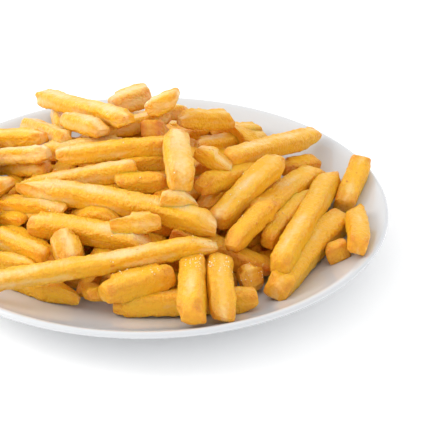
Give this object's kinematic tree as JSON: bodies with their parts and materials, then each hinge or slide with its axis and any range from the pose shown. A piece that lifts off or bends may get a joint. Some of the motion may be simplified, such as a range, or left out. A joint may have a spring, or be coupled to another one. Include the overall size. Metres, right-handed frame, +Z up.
{
  "type": "french fries portion",
  "caption": "Thick-cut French fries heaped on a round white coupe plate, served as a side dish; the plate stands on its foot ring.",
  "frame": {"origin": "middle of the plate's foot ring, on the surface it stands on", "axes": "+Z up; -Y towards the side where the one long fry lies across the front of the heap; +X to the right from there"},
  "size_m": [0.23, 0.23, 0.0651],
  "materials": {
    "plate": "white glazed porcelain, glossy",
    "fries": null
  },
  "bodies": {
    "root": {"plate": "plate", "fries": "fries"}
  },
  "joints": []
}
